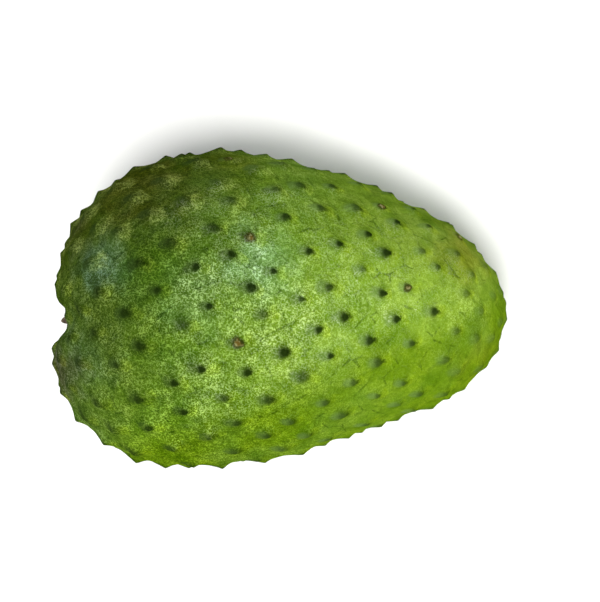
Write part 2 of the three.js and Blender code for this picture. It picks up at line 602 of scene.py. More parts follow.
def sphere_grid(cells: int, stretch: float) -> tuple[Array, Array]:
    """A ball of even quads: a cube's gridded faces blown up to a sphere.

    Args:
        cells: Quads along each edge of the cube.
        stretch: How much longer than wide the body is that the quads are to suit.

    Returns:
        Unit directions, and the four corners of each quad.
    """
    steps = np.arange(cells + 1) * 2 - cells
    u, v = (grid.ravel() for grid in np.meshgrid(steps, steps, indexing="ij"))
    corner = np.arange((cells + 1) ** 2).reshape(cells + 1, cells + 1)
    loop = [corner[:-1, :-1], corner[1:, :-1], corner[1:, 1:], corner[:-1, 1:]]
    quad = np.stack([part.ravel() for part in loop], axis=1)
    lattice, quads = [], []
    for axis in range(3):
        for side in (-cells, cells):
            face = np.zeros((len(u), 3), dtype=int)
            face[:, axis] = side
            face[:, (axis + 1) % 3] = u
            face[:, (axis + 2) % 3] = v
            start = sum(len(part) for part in lattice)
            lattice.append(face)
            quads.append(start + (quad if side > 0 else quad[:, ::-1]))
    points, merged = np.unique(np.concatenate(lattice), axis=0, return_inverse=True)
    directions = unit(np.tan(points / cells * math.pi / 4))
    directions = unit(directions * np.array([stretch, 1.0, 1.0]))
    return directions, merged.reshape(-1)[np.concatenate(quads)]


# ---- Meshes ----


def make_mesh(name: str, points: Array, faces: Sequence[Sequence[int]]) -> bpy.types.Object:
    """Makes a mesh object at the origin.

    Args:
        name: The object's name.
        points: Its vertices, in metres.
        faces: The vertices of each face.

    Returns:
        The object, linked to the scene.
    """
    mesh = bpy.data.meshes.new(name)
    mesh.from_pydata(points.tolist(), [], faces)
    mesh.update()
    piece = bpy.data.objects.new(name, mesh)
    bpy.context.scene.collection.objects.link(piece)
    return piece


def store(piece: bpy.types.Object, name: str, kind: Data, values: Array) -> None:
    """Stores one value for each vertex as a named attribute.

    Args:
        piece: The mesh object.
        name: The attribute's name.
        kind: What the values are.
        values: The values.
    """
    attribute = piece.data.attributes.new(name, kind.value, "POINT")
    channel = "vector" if kind is Data.VECTOR else "value"
    number = np.int32 if kind is Data.COUNT else np.float32
    attribute.data.foreach_set(channel, values.ravel().astype(number))


def run_tree(
    piece: bpy.types.Object, tree: bpy.types.NodeTree, inputs: Mapping[str, object]
) -> None:
    """Runs a node tree on a piece and keeps the result as its plain mesh.

    Args:
        piece: The mesh object.
        tree: The geometry tree.
        inputs: Values of the tree's named inputs.
    """
    modifier = piece.modifiers.new(tree.name, "NODES")
    modifier.node_group = tree
    for item in tree.interface.items_tree:
        if item.item_type == "SOCKET" and item.in_out == "INPUT" and item.name in inputs:
            modifier[item.identifier] = inputs[item.name]
    piece.update_tag()
    bpy.context.view_layer.update()
    evaluated = piece.evaluated_get(bpy.context.evaluated_depsgraph_get())
    mesh = bpy.data.meshes.new_from_object(evaluated)
    piece.modifiers.clear()
    old = piece.data
    piece.data = mesh
    bpy.data.meshes.remove(old)
    mesh.name = piece.name


class SpineTree:
    """The geometry tree that raises a spine over each seat and presses the flat spot."""

    name = "raise_spines"
    lengths = (
        "Foot",
        "Mound",
        "Mound Foot",
        "Relief",
        "Relief Size",
        "Raggedness",
        "Fold",
        "Fold Rim",
        "Fold Inner",
        "Fold Outer",
        "Fold Start",
        "Fold Wander Size",
        "Cavity Y",
    )
    numbers = (
        "Flare",
        "Tip Rounding",
        "Tip Tear",
        "Stunting",
        "Lump Detail",
        "Lump Warp",
        "Fold Count",
        "Fold Wander",
        "Seed",
    )

    def __init__(self) -> None:
        """Builds the tree."""
        self.tree = bpy.data.node_groups.new(self.name, "GeometryNodeTree")
        self.graph = Graph(self.tree)
        sockets = self.tree.interface
        sockets.new_socket("Geometry", in_out="OUTPUT", socket_type="NodeSocketGeometry")
        sockets.new_socket("Geometry", in_out="INPUT", socket_type="NodeSocketGeometry")
        sockets.new_socket("Seats", in_out="INPUT", socket_type="NodeSocketObject")
        sockets.new_socket("Material", in_out="INPUT", socket_type="NodeSocketMaterial")
        for name in self.lengths + self.numbers:
            sockets.new_socket(name, in_out="INPUT", socket_type="NodeSocketFloat")
        group = self.graph.add("NodeGroupInput")
        self.given = {s.name: Signal(self.graph, s) for s in group.outputs if s.name}
        self._build()

    def _named(self, name: str, kind: Data) -> Signal:
        """A named attribute of the geometry."""
        settings = {"data_type": kind.value}
        return self.graph.value("GeometryNodeInputNamedAttribute", settings, {"Name": name})

    def _of_seat(self, source: Signal, kind: Data, index: Signal) -> Signal:
        """A value of the seat that a skin point belongs to.

        Args:
            source: The value, over the seats.
            kind: What it is.
            index: The number of the point's seat.

        Returns:
            The value, over the skin.
        """
        settings = {"transform_space": "ORIGINAL"}
        sockets = {"Object": self.given["Seats"]}
        seats = self.graph.value("GeometryNodeObjectInfo", settings, sockets, "Geometry")
        settings = {"data_type": kind.value, "domain": "POINT"}
        sockets = {"Geometry": seats, "Value": source, "Index": index}
        return self.graph.value("GeometryNodeSampleIndex", settings, sockets)

    def _folds(self) -> Signal:
        """The radial folds round the stem's cavity.

        Returns:
            How high they stand, from -1 to 1.
        """
        given, graph = self.given, self.graph
        own = self._named("own", Data.VECTOR)
        x, y, z = graph.parts(own)
        side = y - given["Cavity Y"]
        radius = (side * side + z * z) ** 0.5
        turn = z.angle_over(side)
        bend = graph.noise(own, given["Fold Wander Size"], 1.0) * given["Fold Wander"]
        near = 1 - radius.ramp(given["Fold Inner"], given["Fold Outer"])
        past_rim = radius.ramp(given["Fold Rim"], given["Fold Inner"])
        wave = (turn * given["Fold Count"] + bend).sine()
        return wave * near * past_rim * x.ramp(0.0, given["Fold Start"])

    def _build(self) -> None:
        """Lays the nodes out, from the skin between the spines to the finished fruit."""
        given, graph = self.given, self.graph
        own_seat = self._named("seat", Data.COUNT)
        outward = self._named("outward", Data.VECTOR)
        place = graph.value("GeometryNodeInputPosition")
        seat = self._of_seat(place, Data.VECTOR, own_seat)
        kinds = {"rise": Data.VECTOR, "way": Data.VECTOR, "size": Data.NUMBER, "tone": Data.NUMBER}
        rise, way, size, tone = (
            self._of_seat(self._named(name, kind), kind, own_seat) for name, kind in kinds.items()
        )

        away = graph.vector("SUBTRACT", place, seat)
        distance = graph.vector("LENGTH", away, output="Value")
        wobble = graph.noise(place, given["Raggedness"], seed=given["Seed"]) - 0.5
        ragged = distance / size * (1 + given["Tip Tear"] * wobble)
        spread = ragged / given["Foot"]
        rounding = given["Tip Rounding"]
        rounded = (spread * spread + rounding * rounding) ** 0.5 - rounding
        spike = (1 - rounded).most(0.0) ** given["Flare"]
        stunted = 1 - given["Stunting"] * tone.ramp(*CORKY_TONES)
        lift = graph.scaled(rise, spike * stunted)
        mound = (1 - distance / size / given["Mound Foot"]).ramp(0.0, 1.0) * given["Mound"]
        detail, warp = given["Lump Detail"], given["Lump Warp"]
        lumps = graph.noise(place, given["Relief Size"], detail, warp, given["Seed"]) - 0.5
        swell = mound + lumps * given["Relief"] + self._folds() * given["Fold"]
        skin = graph.vector("ADD", place, graph.scaled(outward, swell))
        raised = graph.vector("ADD", skin, lift)

        low, high = graph.parts(skin)[2], graph.parts(raised)[2]
        crossing = (low / (low - high).most(TINY)).least(1.0).most(0.0)
        share = crossing.most((high > 0.0) * 1.0)
        x, y, z = graph.parts(graph.mix(share, skin, raised, "VECTOR"))
        finished = graph.value("ShaderNodeCombineXYZ", {}, {0: x, 1: y, 2: z.most(0.0)})

        marked = given["Geometry"]
        ahead = graph.vector("DOT_PRODUCT", away, way, output="Value") / size
        settings = {"data_type": Data.NUMBER.value, "domain": "POINT"}
        for name, signal in (("reach", ragged), ("ahead", ahead), ("tone", tone)):
            sockets = {"Geometry": marked, "Name": name, "Value": signal}
            marked = graph.value("GeometryNodeStoreNamedAttribute", settings, sockets)
        sockets = {"Geometry": marked, "Position": finished}
        moved = graph.value("GeometryNodeSetPosition", {}, sockets)
        whole = graph.value("GeometryNodeRealizeInstances", {}, {"Geometry": moved})
        sockets = {"Geometry": whole, "Shade Smooth": True}
        smooth = graph.value("GeometryNodeSetShadeSmooth", {}, sockets)
        sockets = {"Geometry": smooth, "Material": given["Material"]}
        dressed = graph.value("GeometryNodeSetMaterial", {}, sockets)
        graph.add("NodeGroupOutput", {}, {0: dressed})


# ---- Finishes ----


def new_material(name: str) -> tuple[bpy.types.Material, Graph]:
    """Makes an empty material.

    Args:
        name: The material's name.

    Returns:
        The material and its graph.
    """
    material = bpy.data.materials.new(name)
    material.use_nodes = True
    return material, Graph(material.node_tree)


@dataclass(frozen=True)
class Zone:
    """The skin beyond a slanting plane, with a soft edge. Lengths are in millimetres."""

    edge: Span
    slope: tuple[float, float, float] = (1.0, 0.0, 0.0)
    wander: float = 0.0


@dataclass(frozen=True)
class Patch:
    """A round patch on the fruit's upper side, 1 in the middle of a strong one, in millimetres."""

    x: float
    y: float
    radius: float
    strength: float


class SkinMap:
    """What the skin's finish reads at each point of the skin."""

    ragged = Cloud(12.0, 3.0, 0.0, 8.0)
    rag = 1.6
    patch_edge = (1.05, 0.1)
    upper_side = Zone((0.0, 20.0), (0.0, 0.0, 1.0))

    def __init__(self, graph: Graph) -> None:
        """Reads the point's place in the fruit and what its spine has left there.

        Args:
            graph: The material's graph.
        """
        self.graph = graph
        self.place = graph.value("ShaderNodeTexCoord", {}, {}, "Object")
        self.own = graph.attribute("own", "Vector")
        names = ("reach", "ahead", "tone", "border")
        self.reach, self.ahead, self.tone, self.border = (graph.attribute(name) for name in names)

    def cloud(self, cloud: Cloud) -> Signal:
        """One of the named noises, over the skin."""
        return self.graph.cloud(self.place, cloud)

    def zone(self, zone: Zone, cloud: Signal | None = None) -> Signal:
        """Finds a zone.

        Args:
            zone: The zone.
            cloud: The noise that its edge wanders with.

        Returns:
            1 inside the zone and 0 outside it.
        """
        level = self.graph.vector("DOT_PRODUCT", self.own, zone.slope, output="Value")
        if cloud is not None:
            level = level + zone.wander * MM * (cloud - 0.5)
        return level.within(zone.edge)

    def zones(self, zones: Sequence[Zone]) -> Signal:
        """1 where all of the zones are."""
        return math.prod(self.zone(zone) for zone in zones)

    def patches(self, patches: Sequence[Patch]) -> Signal:
        """Ragged patches, which join where they meet.

        Args:
            patches: The patches.

        Returns:
            How strong the patches are at each point.
        """
        x, y, _ = self.graph.parts(self.own)
        rags = self.rag * (self.cloud(self.ragged) - 0.5)
        upper = self.zone(self.upper_side)
        whole = upper * 0.0
        for patch in patches:
            side = (x - patch.x * MM) / (patch.radius * MM)
            up = (y - patch.y * MM) / (patch.radius * MM)
            gap = (side * side + up * up) ** 0.5 + rags
            whole = whole.most(gap.ramp(*self.patch_edge) * upper * patch.strength)
        return whole

    def reach_from(self, offset: float) -> Signal:
        """Distance from a point in front of the nearest spine's tip, or behind it where negative.

        Args:
            offset: How far in front the point lies, in millimetres.

        Returns:
            The distance, in metres.
        """
        shift = offset * MM
        return (self.reach * self.reach - 2 * shift * self.ahead + shift**2).most(0.0) ** 0.5


class Paint:
    """A colour that is laid on in coats."""

    def __init__(self, graph: Graph, colour: Colour) -> None:
        """Starts with a plain colour.

        Args:
            graph: The material's graph.
            colour: The colour.
        """
        self.graph = graph
        self.colour: Signal | Colour = colour

    def lay(self, share: Operand, colour: object, blend: Blend = Blend.COVER) -> None:
        """Lays one coat over the colour.

        Args:
            share: How strong the coat is, from 0 to 1.
            colour: Its colour.
            blend: How it is laid.
        """
        self.colour = self.graph.blend(share, self.colour, colour, blend)


@dataclass(frozen=True)
class SkinFinish:
    """Living fruit skin: pebbled and satin, dark green at the stem, yellow green at the blossom.

    Places are the fruit's own, and lengths are in millimetres. A span is where a soft edge starts
    and ends, or the values of a share at its two ends.
    """

    # Greens that pass into one another from the stem end to the blossom end.
    stem_green: Colour = (0.064, 0.106, 0.011, 1)
    middle_green: Colour = (0.172, 0.298, 0.024, 1)
    blossom_green: Colour = (0.230, 0.358, 0.034, 1)
    flank_green: Colour = (0.124, 0.220, 0.002, 1)
    flank_share: float = 0.85
    blotch: Colour = (0.66, 0.76, 0.45, 1)
    blotch_share: float = 0.8
    blotch_edge: Span = (0.50, 0.68)
    # Painted shade: darkens the upper flank towards the blossom end.
    painted_shade_tint: Colour = (0.80, 0.78, 0.84, 1)
    drift: Cloud = Cloud(45.0, 3.0, 0.0, 1.0)
    blotches: Cloud = Cloud(20.0, 3.0, 0.5, 2.0)
    past_stem: Zone = Zone((-85.0, 0.0), (1.0, -0.6, 0.0), 50.0)
    past_middle: Zone = Zone((-20.0, 70.0), (1.0, -0.6, 0.0), 50.0)
    low_flank: Zone = Zone((24.0, 44.0), (0.4, -1.0, 0.0), 16.0)
    shaded_high_flank: Zone = Zone((22.0, 48.0), (0.25, 1.0, 0.0), 16.0)
    high_end: Zone = Zone((-10.0, 30.0))

    # Patches of painted bluish sheen that is partly a waxy bloom, of darker, olive and weathered
    # skin, and of painted highlight.
    # Painted bluish sheen, partly a waxy bloom.
    bloom_and_painted_sheen: Colour = (0.038, 0.074, 0.085, 1)
    bloom_and_sheen_patches: Patches = (
        Patch(-4, 19, 21, 1.0),
        Patch(-28, 10, 13, 0.5),
        Patch(-68, 20, 17, 0.65),
        Patch(-28, 4, 24, 0.30),
        Patch(-78, -20, 22, 0.25),
    )
    film: Cloud = Cloud(30.0, 2.0, 0.0, 9.0)
    film_edge: Span = (0.45, 0.7)
    film_share: float = 0.10
    deep: Colour = (0.62, 0.74, 0.46, 1)
    deep_patches: Patches = (
        Patch(-46, 17, 27, 1.0),
        Patch(-30, 24, 14, 0.6),
        Patch(-44, -15, 15, 0.5),
        Patch(-40, -38, 20, 0.4),
    )
    olive: Colour = (1.05, 0.78, 0.62, 1)
    olive_patches: Patches = (
        Patch(-58, 58, 38, 1.0),
        Patch(-84, 34, 20, 0.7),
        Patch(-20, 66, 26, 0.6),
        Patch(84, 25, 20, 0.7),
        Patch(98, -26, 20, 0.6),
    )
    weathered: Colour = (0.085, 0.080, 0.042, 1)
    weathered_patches: Patches = (
        Patch(-91, -26, 17, 0.9),
        Patch(-88, 40, 14, 0.6),
    )
    weathered_share: float = 0.8
    # Painted highlight, speckled by the grain.
    pale: Colour = (0.120, 0.145, 0.058, 1)
    highlight_patches: Patches = (
        Patch(4, -3, 27, 0.9),
        Patch(-24, -32, 20, 0.6),
        Patch(-2, 14, 16, 0.5),
        Patch(-28, 8, 13, 0.9),
        Patch(44, -2, 20, 0.4),
        Patch(82, -2, 16, 0.5),
    )
    highlight_grain: Span = (0.45, 0.62)
    highlight_share: Span = (0.15, 1.0)
    shoulder: tuple[Zone, ...] = (
        Zone((35.0, 75.0), (-0.5, 1.2, 0.0)),
        Zone((-10.0, 25.0), (0.0, 0.0, 1.0)),
    )

    # Wrinkled grain with dark pits and pale crests, which are whitened into painted glints,
    # strongest near the stem.
    fine: Cloud = Cloud(0.8, 1.0, 1.2, 6.0)
    fine_share: float = 0.5
    wrinkles: Cloud = Cloud(1.1, 1.0, 0.6, 15.0)
    wrinkle_edge: Span = (0.12, 0.0)
    wrinkle_share: float = 0.24
    grain_level: float = 0.49
    smoother: Zone = Zone((-45.0, 60.0))
    pebbling: Span = (1.0, 0.20)
    mottling: Cloud = Cloud(10.0, 3.0, 0.8, 14.0)
    mottle_edge: Span = (0.60, 0.42)
    mottle_share: float = 0.58
    pit: Colour = (0.34, 0.42, 0.26, 1)
    pit_grain: Span = (0.55, 0.38)
    pit_share: float = 0.52
    # Pale grain crests, whitened into painted glints.
    crest_and_glint: Colour = (2.3, 2.1, 3.6, 1)
    glint_grain: Span = (0.46, 0.64)
    glint_mottled: Span = (1.0, 0.5)
    glint_shoulder: Span = (1.0, 0.4)
    leather: Cloud = Cloud(5.5, 2.0, 0.8, 7.0)
    leather_edge: Span = (0.55, 0.35)
    leather_share: Span = (0.15, 0.50)

    # Creases: long arcs, and cracks along the borders between the spines' fields.
    arcs: Cloud = Cloud(22.0, 1.0, 0.5, 4.0)
    arc_edge: Span = (0.014, 0.0)
    arc_share: float = 0.35
    cracks: Cloud = Cloud(6.0, 2.0, 0.0, 5.0)
    crack_wander: float = 3.4
    crack_edge: Span = (0.6, 0.1)
    fading: Cloud = Cloud(18.0, 1.0, 0.0, 3.0)
    fading_edge: Span = (0.40, 0.55)
    fading_share: Span = (0.3, 1.0)
    crease_share: Span = (0.54, 0.70)

    # Marks round each spine's tip, from the widest to the dark core: painted light on the flank and
    # mound ahead of the tip, then the foot, the tail and the core, which is partly painted shade.
    torn: Cloud = Cloud(1.8, 2.0, 0.0, 10.0)
    tear: float = 1.6
    # Painted light on each spine's flank ahead of its tip, strongest on the shoulder.
    lit: Colour = (0.110, 0.135, 0.034, 1)
    lit_ahead: float = 4.2
    lit_tears: float = 3.0
    lit_edge: Span = (7.0, 0.6)
    lit_share: Span = (0.12, 1.52)
    lit_grain: Span = (0.42, 0.60)
    lit_grain_share: Span = (0.3, 1.9)
    uneven: Cloud = Cloud(3.5, 3.0, 0.8, 12.0)
    uneven_edge: Span = (0.34, 0.64)
    # Painted light on the mound ahead of each spine's tip, off the shoulder.
    painted_mound_light: Colour = (1.30, 1.22, 0.30, 1)
    mound_light_edge: Span = (4.4, 1.4)
    mound_light_share: float = 0.45
    foot_edge: Span = (6.0, 1.6)
    foot_share: float = 0.42
    stem_tail: Colour = (0.030, 0.055, 0.012, 1)
    blossom_tail: Colour = (0.12, 0.20, 0.055, 1)
    paler_tails: Zone = Zone((-50.0, 40.0))
    tail_ahead: float = -2.2
    tail_edge: Span = (3.6, 1.0)
    fainter_tails: Zone = Zone((55.0, 85.0))
    tail_share: Span = (0.5, 0.2)
    # The spine's own dark green, partly deepened as painted shade.
    core_green_and_shade: Colour = (0.008, 0.018, 0.002, 1)
    core_edge: Span = (3.6, 1.1)
    core_share: float = 0.95
    core_moods: float = 40.0
    core_size: Span = (1.0, 1.42)
    pointed: Zone = Zone((0.0, 50.0))
    core_narrowing: Span = (150.0, 500.0)
    core_lead: Span = (0.5, 0.32)
    core_trail: float = 1.3
    core_fades: tuple[tuple[Zone, Span], ...] = (
        (Zone((-85.0, -30.0)), (0.6, 1.0)),
        (Zone((26.0, 52.0), (0.4, -1.0, 0.0)), (1.0, 0.6)),
        (Zone((65.0, 92.0)), (1.0, 0.35)),
    )
    core_shoulder: Span = (1.0, 0.35)
    core_young: Span = (0.0, 0.3)
    core_young_share: Span = (0.5, 1.0)

    # The dry tips of the stunted spines.
    corky: Zone = Zone((-35.0, -25.0))
    cork_brown: Colour = (0.15, 0.098, 0.020, 1)
    cork_pale: Colour = (0.30, 0.29, 0.12, 1)
    flecks: Cloud = Cloud(1.2, 1.0, 0.0, 13.0)
    fleck_edge: Span = (0.40, 0.60)
    cork_edge: Span = (1.7, 0.7)
    cork_ring: Colour = (0.040, 0.042, 0.006, 1)
    ring_edge: Span = (3.0, 1.9)
    cork_share: float = 0.75

    # Relief, and a thin wax on the upper side.
    grain_relief: float = 1.15
    leather_relief: Span = (1.4, 3.6)
    crease_relief: float = 0.3
    relief_height: float = 1.0
    roughness: float = 0.34
    pit_roughness: float = 0.2
    core_roughness: float = 0.3
    wax: Cloud = Cloud(12.0, 2.0, 0.4, 11.0)
    wax_edge: Span = (0.40, 0.58)
    wax_patchiness: Span = (0.25, 1.0)
    wax_facing: Span = (0.55, 0.97)
    wax_grain: Span = (0.42, 0.62)
    wax_share: Span = (0.15, 1.0)
    wax_zones: tuple[Zone, ...] = (
        Zone((-10.0, 30.0), (0.0, 0.0, 1.0)),
        Zone((-55.0, -25.0)),
        Zone((-50.0, -32.0), (-0.63, 1.0, 0.0)),
    )

    def _lay_ground(self, skin: SkinMap, paint: Paint) -> None:
        """Lays the skin's slow changes of colour, and painted shade on the upper flank.

        Args:
            skin: The skin's map.
            paint: The colour so far, which is the stem's green.
        """
        drift, blotches = skin.cloud(self.drift), skin.cloud(self.blotches)
        paint.lay(skin.zone(self.past_stem, drift), self.middle_green)
        paint.lay(skin.zone(self.past_middle, drift), self.blossom_green)
        paint.lay(skin.zone(self.low_flank, blotches) * self.flank_share, self.flank_green)
        paint.lay(self.blotch_share * blotches.ramp(*self.blotch_edge), self.blotch, Blend.TINT)
        # Painted shade on the upper flank, towards the blossom end.
        high = skin.zone(self.shaded_high_flank, blotches) * skin.zone(self.high_end)
        paint.lay(high, self.painted_shade_tint, Blend.TINT)

    def _lay_patches(self, skin: SkinMap, paint: Paint, grain: Signal) -> Signal:
        """Lays the patches, among them painted bluish sheen and painted highlight.

        Args:
            skin: The skin's map.
            paint: The colour so far.
            grain: The skin's grain.

        Returns:
            How strong the darker patches are.
        """
        # Painted bluish sheen, partly a waxy bloom, in patches and in a faint film.
        film = self.film_share * skin.cloud(self.film).ramp(*self.film_edge)
        paint.lay(film.most(skin.patches(self.bloom_and_sheen_patches)), self.bloom_and_painted_sheen, Blend.ADD)
        deep = skin.patches(self.deep_patches)
        paint.lay(deep, self.deep, Blend.TINT)
        paint.lay(skin.patches(self.olive_patches), self.olive, Blend.TINT)
        weathering = skin.patches(self.weathered_patches)
        paint.lay(weathering * self.weathered_share, self.weathered)
        # Painted highlight in patches, speckled by the grain.
        pale = skin.patches(self.highlight_patches)
        pale = pale * grain.ramp(*self.highlight_grain).between(*self.highlight_share)
        paint.lay(pale, self.pale, Blend.ADD)
        return deep

    def _grain(self, skin: SkinMap) -> Signal:
        """The skin's finest relief.

        Args:
            skin: The skin's map.

        Returns:
            About 0.4 in a pit and 0.6 on a crest.
        """
        wrinkle = (skin.cloud(self.wrinkles) - 0.5).size().ramp(*self.wrinkle_edge)
        fine = self.fine_share * (skin.cloud(self.fine) - 0.5)
        return self.grain_level + self.wrinkle_share * (wrinkle - 0.5) + fine

    def _creases(self, skin: SkinMap) -> Signal:
        """Fine curved lines in the skin.

        Args:
            skin: The skin's map.

        Returns:
            The lines, 1 in the middle of a strong one.
        """
        fade = skin.cloud(self.fading).ramp(*self.fading_edge)
        arc = (skin.cloud(self.arcs) - 0.5).size().ramp(*self.arc_edge)
        wander = self.crack_wander * MM * (skin.cloud(self.cracks) - 0.5)
        crack = (skin.border + wander).size().within(self.crack_edge)
        return (self.arc_share * arc).most(crack) * fade.between(*self.fading_share)

    def _core(self, skin: SkinMap, near: Signal, tears: Signal, shoulder: Signal) -> Signal:
        """The dark core of each spine, its own dark green partly deepened as painted shade, blunt
        at its back and drawn out towards the blossom end.

        Args:
            skin: The skin's map.
            near: Distance from the spine's tip.
            tears: How the marks' edges are torn.
            shoulder: The skin's shoulder, where the cores are faint.

        Returns:
            The core's share, 1 in its middle.
        """
        lead, trail = skin.ahead.most(0.0), (skin.ahead + tears).least(0.0)
        pointed = skin.zone(self.pointed)
        narrow = (1 + pointed.between(*self.core_narrowing) * lead) ** 2
        across = (near * near - skin.ahead * skin.ahead).most(0.0) * narrow
        along = pointed.between(*self.core_lead) * lead * lead + self.core_trail * trail * trail
        mood = 0.5 + 0.5 * (skin.tone * self.core_moods).sine()
        core = ((along + across) ** 0.5 * mood.between(*self.core_size)).within(self.core_edge)
        for zone, share in self.core_fades:
            core = core * skin.zone(zone).between(*share)
        young = skin.tone.ramp(*self.core_young).between(*self.core_young_share)
        return core * shoulder.between(*self.core_shoulder) * young

    def _lay_marks(
        self, skin: SkinMap, paint: Paint, grain: Signal, shoulder: Signal
    ) -> tuple[Signal, Signal]:
        """Lays the marks round each spine's tip, among them painted light on the flank and mound
        ahead of it.

        Args:
            skin: The skin's map.
            paint: The colour so far.
            grain: The skin's grain.
            shoulder: The skin's shoulder.

        Returns:
            The shares of the dark cores and of the cork.
        """
        tears = self.tear * MM * (skin.cloud(self.torn) - 0.5)
        near = skin.reach + tears
        # Painted light on each spine's flank ahead of its tip.
        front = skin.reach_from(self.lit_ahead) + self.lit_tears * tears
        uneven = shoulder * skin.cloud(self.uneven).ramp(*self.uneven_edge)
        crests_and_glints = grain.ramp(*self.lit_grain).between(*self.lit_grain_share)
        lit = front.within(self.lit_edge) * uneven.between(*self.lit_share) * crests_and_glints
        paint.lay(lit, self.lit, Blend.ADD)
        # Painted light on the mound ahead of the tip.
        painted_mound_light = front.within(self.mound_light_edge) * (1 - shoulder) * self.mound_light_share
        paint.lay(painted_mound_light, self.painted_mound_light, Blend.TINT)
        paint.lay(near.within(self.foot_edge) * self.foot_share, self.pit, Blend.TINT)
        tail = skin.graph.mix(skin.zone(self.paler_tails), self.stem_tail, self.blossom_tail)
        tail_share = skin.zone(self.fainter_tails).between(*self.tail_share)
        paint.lay(skin.reach_from(self.tail_ahead).within(self.tail_edge) * tail_share, tail)
        # Dark core: the spine's own green, partly painted shade.
        core = self._core(skin, near, tears, shoulder)
        paint.lay(core * self.core_share, self.core_green_and_shade)

        corky = skin.tone.ramp(*CORKY_TONES) * skin.zone(self.corky)
        ring = (near + tears).within(self.ring_edge) * corky
        paint.lay(ring * self.cork_share, self.cork_ring)
        cork = (near + 2 * tears).within(self.cork_edge) * corky
        flecks = skin.cloud(self.flecks).ramp(*self.fleck_edge)
        dry = skin.graph.mix(flecks, self.cork_brown, self.cork_pale)
        paint.lay(cork * self.cork_share, dry)
        return core, cork

    def make(self) -> bpy.types.Material:
        """Builds the material.

        Returns:
            The material.
        """
        material, graph = new_material("soursop_skin")
        skin, paint = SkinMap(graph), Paint(graph, self.stem_green)
        grain, creases, leather = self._grain(skin), self._creases(skin), skin.cloud(self.leather)
        pebbling = skin.zone(self.smoother).between(*self.pebbling)
        shoulder = skin.zones(self.shoulder)
        self._lay_ground(skin, paint)
        deep = self._lay_patches(skin, paint, grain)
        mottle = skin.cloud(self.mottling).ramp(*self.mottle_edge)
        paint.lay(mottle * self.mottle_share, self.blotch, Blend.TINT)
        pits = grain.ramp(*self.pit_grain) * pebbling * self.pit_share
        paint.lay(pits, self.pit, Blend.TINT)
        # Pale grain crests, whitened into painted glints.
        crests_and_glints = grain.ramp(*self.glint_grain) * pebbling * mottle.between(*self.glint_mottled)
        paint.lay(crests_and_glints * shoulder.between(*self.glint_shoulder), self.crest_and_glint, Blend.TINT)
        dents = leather.ramp(*self.leather_edge) * pebbling.between(*self.leather_share)
        paint.lay(dents, self.pit, Blend.TINT)
        paint.lay(creases * pebbling.between(*self.crease_share), self.pit, Blend.TINT)
        core, cork = self._lay_marks(skin, paint, grain, shoulder)

        relief = self.grain_relief * grain * pebbling - self.crease_relief * creases
        relief = relief + pebbling.between(*self.leather_relief) * leather
        bump = graph.bump(relief, self.relief_height * MM)
        rough = self.roughness + self.pit_roughness * (0.5 - grain) + self.core_roughness * core
        sockets = {"Base Color": paint.colour, "Roughness": rough, "Normal": bump}
        matt = graph.value(PRINCIPLED, {}, sockets | {"Specular IOR Level": 0.0})
        waxy = graph.value(PRINCIPLED, {}, sockets | {"Specular IOR Level": 1.0})
        facing = 1 - graph.value("ShaderNodeLayerWeight", {}, {"Blend": 0.5}, "Facing")
        shine = facing.ramp(*self.wax_facing) * grain.ramp(*self.wax_grain)
        shine = shine * (1 - core) * (1 - deep) * (1 - cork)
        patches = skin.cloud(self.wax).ramp(*self.wax_edge).between(*self.wax_patchiness)
        wax = shine * (skin.zones(self.wax_zones) * patches).between(*self.wax_share)
        shader = graph.value("ShaderNodeMixShader", {}, {0: wax, 1: matt, 2: waxy})
        graph.add("ShaderNodeOutputMaterial", {}, {"Surface": shader})
        return material


@dataclass(frozen=True)
class BarkFinish:
    """Dry grey-brown stalk bark with long fibres."""

    light: Colour = (0.16, 0.11, 0.06, 1)
    dark: Colour = (0.03, 0.02, 0.012, 1)
    fibre: Cloud = Cloud(0.8, 4.0, 0.4, 0.0)
    fibre_edge: Span = (0.35, 0.7)
    stretch: tuple[float, float, float] = (0.3, 1.0, 1.0)
    relief_height: float = 0.5
    relief_strength: float = 0.8
    roughness: float = 0.85
    fibre_roughness: float = 0.1

    def make(self) -> bpy.types.Material:
        """Builds the material.

        Returns:
            The material.
        """
        material, graph = new_material("stalk_bark")
        place = graph.value("ShaderNodeTexCoord", {}, {}, "Object")
        stretched = graph.value("ShaderNodeMapping", {}, {"Vector": place, "Scale": self.stretch})
        fibre = graph.cloud(stretched, self.fibre)
        colour = graph.mix(fibre.ramp(*self.fibre_edge), self.dark, self.light)
        bump = graph.bump(fibre, self.relief_height * MM, self.relief_strength)
        rough = self.roughness + self.fibre_roughness * (fibre - 0.5)
        sockets = {"Base Color": colour, "Roughness": rough, "Normal": bump}
        shader = graph.value(PRINCIPLED, {}, sockets)
        graph.add("ShaderNodeOutputMaterial", {}, {"Surface": shader})
        return material


@dataclass(frozen=True)
class FloorFinish:
    """A plain pale studio surface. Lengths are in metres."""

    pale: Colour = (0.9, 0.9, 0.9, 1)
    dull: Colour = (0.8865, 0.8865, 0.8865, 1)
    cloud_size: float = 0.4
    roughness: float = 0.9

    def make(self) -> bpy.types.Material:
        """Builds the material.

        Returns:
            The material.
        """
        material, graph = new_material("studio_surface")
        place = graph.value("ShaderNodeTexCoord", {}, {}, "Object")
        colour = graph.mix(graph.noise(place, self.cloud_size), self.pale, self.dull)
        sockets = {"Base Color": colour, "Roughness": self.roughness}
        shader = graph.value(PRINCIPLED, {}, sockets)
        graph.add("ShaderNodeOutputMaterial", {}, {"Surface": shader})
        return material


# ---- Sub-assemblies ----


